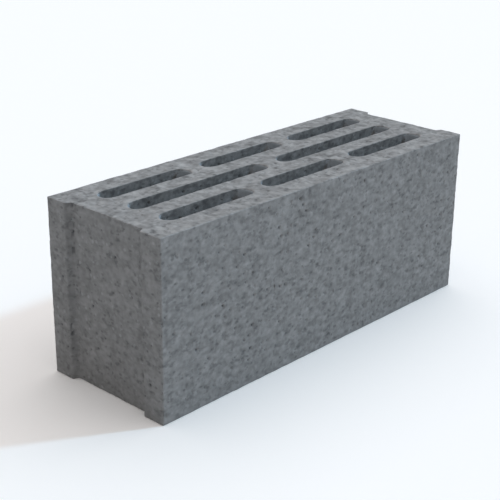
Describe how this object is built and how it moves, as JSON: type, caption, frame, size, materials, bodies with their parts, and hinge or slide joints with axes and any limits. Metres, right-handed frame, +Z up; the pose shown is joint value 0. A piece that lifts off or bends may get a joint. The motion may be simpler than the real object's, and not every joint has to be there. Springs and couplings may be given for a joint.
{
  "type": "concrete block",
  "caption": "Hollow masonry block of cast concrete with rounded lengthwise slots through it and a shallow mortar recess down each end.",
  "frame": {"origin": "middle of the block's base", "axes": "+X along the block's length, +Y across its width, +Z up, out of the face that shows the wide ends of the slots"},
  "size_m": [0.385, 0.132, 0.155],
  "materials": {
    "cast_concrete": "matt, fine-pored, as stripped from a vibrated mould"
  },
  "bodies": {
    "root": {"hollow_block": "cast_concrete"}
  },
  "joints": []
}
